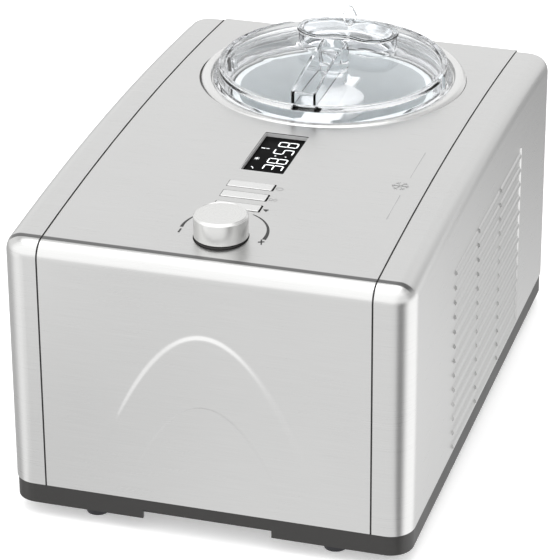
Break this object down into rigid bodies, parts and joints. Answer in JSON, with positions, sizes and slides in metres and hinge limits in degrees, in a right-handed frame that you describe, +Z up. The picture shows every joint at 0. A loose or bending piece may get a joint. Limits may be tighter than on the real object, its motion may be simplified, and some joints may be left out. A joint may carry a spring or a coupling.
{
  "type": "ice cream maker",
  "caption": "Countertop ice cream maker with built-in compressor, lift-out bowl, turning paddle, clear lid and pour cap.",
  "frame": {"origin": "centre of the footprint, on the plane the feet stand on", "axes": "+Z up, -Y towards the user (front), +X to the right seen from the front"},
  "size_m": [0.288, 0.428, 0.2515],
  "materials": {
    "steel": "brushed, fine vertical grain",
    "rear_steel": "satin grey paint",
    "black_plastic": "fine matte",
    "foot_rubber": "matte",
    "gland_rubber": "satin",
    "collar_plastic": "satin, silver tinted",
    "knob_metal": "spun face, bright edge",
    "key_metal": "satin",
    "spring_steel": "bright wire",
    "guide_plastic": "matte",
    "encoder_metal": "plain",
    "lens": "smoked gloss",
    "module": "matte",
    "pcb": "solder mask",
    "black_paint": "gloss black paint",
    "fins": "thin sheet",
    "copper": "copper tube",
    "motor_steel": "plated can",
    "fan_plastic": "matte",
    "drum_metal": "satin",
    "foam": "rigid foam skin",
    "gear_case": "ribbed moulding",
    "gear_plastic": "acetal",
    "pinion_brass": "machined",
    "shaft_steel": "ground",
    "bush_bronze": "sintered",
    "screw_steel": "plated",
    "wire_sleeve": "braided sleeve",
    "bowl_metal": "satin",
    "paddle_plastic": "white moulding",
    "seal_rubber": "clear grey silicone",
    "clear_plastic": "clear moulding"
  },
  "bodies": {
    "housing": {"base_tray": "black_plastic", "capillary_tube": "copper", "compressor": "black_paint", "compressor_mounts": "foot_rubber", "condenser_coil": "copper", "condenser_fins": "fins", "control_board": "pcb", "cord_gland": "gland_rubber", "discharge_pipe": "copper", "display_lens": "lens", "display_module": "module", "drive_motor": "motor_steel", "drum_insulation": "foam", "encoder": "encoder_metal", "evaporator_coil": "copper", "evaporator_drum": "drum_metal", "fan_motor": "motor_steel", "fan_shroud": "black_plastic", "filter_drier": "copper", "gearbox_cover": "gear_case", "gearbox_housing": "gear_case", "key_guide": "guide_plastic", "knob_ring": "black_plastic", "left_side_panel": "steel", "lid_collar": "collar_plastic", "liquid_pipe": "copper", "panel_screws": "screw_steel", "power_board": "pcb", "rear_panel": "rear_steel", "relay_cover": "black_plastic", "right_side_panel": "steel", "rubber_feet": "foot_rubber", "seam_frame": "black_plastic", "shaft_bush": "bush_bronze", "shaft_seal": "foot_rubber", "spring_lower": "spring_steel", "spring_middle": "spring_steel", "spring_upper": "spring_steel", "suction_pipe": "copper", "top_front_panel": "steel", "wire_loom": "wire_sleeve"},
    "knob": {"control_knob": "knob_metal"},
    "key_upper": {"key_upper": "key_metal"},
    "key_middle": {"key_middle": "key_metal"},
    "key_lower": {"key_lower": "key_metal"},
    "drive": {"drive_shaft": "shaft_steel", "output_gear": "gear_plastic"},
    "idler_two": {"idler_two": "gear_plastic"},
    "idler_one": {"idler_one": "gear_plastic"},
    "pinion": {"motor_pinion": "pinion_brass"},
    "fan": {"fan_rotor": "fan_plastic"},
    "bowl": {"ice_bowl": "bowl_metal"},
    "paddle": {"paddle": "paddle_plastic"},
    "lid_ring": {"lid_seal": "seal_rubber"},
    "lid": {"lid": "clear_plastic"},
    "fill_cap": {"fill_cap": "clear_plastic"}
  },
  "joints": [
    {"name": "knob_turn", "type": "hinge", "parent": "housing", "child": "knob", "pos_m": [0, -0.17, 0.22], "axis": [0, 0, 1], "continuous": true},
    {"name": "key_upper_press", "type": "slide", "parent": "housing", "child": "key_upper", "axis": [0, 0, -1], "range_m": [0, 0.0011], "stiffness_N_per_m": 400, "springref_m": -0.0003, "deforming": ["spring_upper"]},
    {"name": "key_middle_press", "type": "slide", "parent": "housing", "child": "key_middle", "axis": [0, 0, -1], "range_m": [0, 0.0011], "stiffness_N_per_m": 400, "springref_m": -0.0003, "deforming": ["spring_middle"]},
    {"name": "key_lower_press", "type": "slide", "parent": "housing", "child": "key_lower", "axis": [0, 0, -1], "range_m": [0, 0.0011], "stiffness_N_per_m": 400, "springref_m": -0.0003, "deforming": ["spring_lower"]},
    {"name": "drive_spin", "type": "hinge", "parent": "housing", "child": "drive", "pos_m": [0, 0.104, 0.06], "axis": [0, 0, 1], "continuous": true},
    {"name": "idler_two_spin", "type": "hinge", "parent": "housing", "child": "idler_two", "pos_m": [-0.00903, 0.05279, 0.03], "axis": [0, 0, 1], "continuous": true},
    {"name": "idler_one_spin", "type": "hinge", "parent": "housing", "child": "idler_one", "pos_m": [0.00339, 0.00643, 0.035], "axis": [0, 0, 1], "continuous": true},
    {"name": "pinion_spin", "type": "hinge", "parent": "housing", "child": "pinion", "pos_m": [0.03296, -0.02881, 0.04], "axis": [0, 0, 1], "continuous": true},
    {"name": "fan_spin", "type": "hinge", "parent": "housing", "child": "fan", "pos_m": [0.092, -0.05, 0.12], "axis": [1, 0, 0], "continuous": true},
    {"name": "bowl_lift", "type": "slide", "parent": "housing", "child": "bowl", "axis": [0, 0, 1], "range_m": [0, 0.16]},
    {"name": "paddle_spin", "type": "hinge", "parent": "bowl", "child": "paddle", "pos_m": [0, 0.104, 0.15], "axis": [0, 0, 1], "continuous": true},
    {"name": "lid_lift", "type": "slide", "parent": "bowl", "child": "lid_ring", "axis": [0, 0, 1], "range_m": [0, 0.09]},
    {"name": "lid_turn", "type": "hinge", "parent": "lid_ring", "child": "lid", "pos_m": [0, 0.104, 0.22], "axis": [0, 0, 1], "range_deg": [-25, 0]},
    {"name": "fill_cap_lift", "type": "slide", "parent": "lid", "child": "fill_cap", "axis": [0, 0, 1], "range_m": [0, 0.04]}
  ],
  "couplings": [
    {"joint": "idler_two_spin", "follows": "drive_spin", "ratio": -4.2},
    {"joint": "idler_one_spin", "follows": "drive_spin", "ratio": 15.96},
    {"joint": "pinion_spin", "follows": "drive_spin", "ratio": -106.4},
    {"joint": "paddle_spin", "follows": "drive_spin", "ratio": 1}
  ]
}
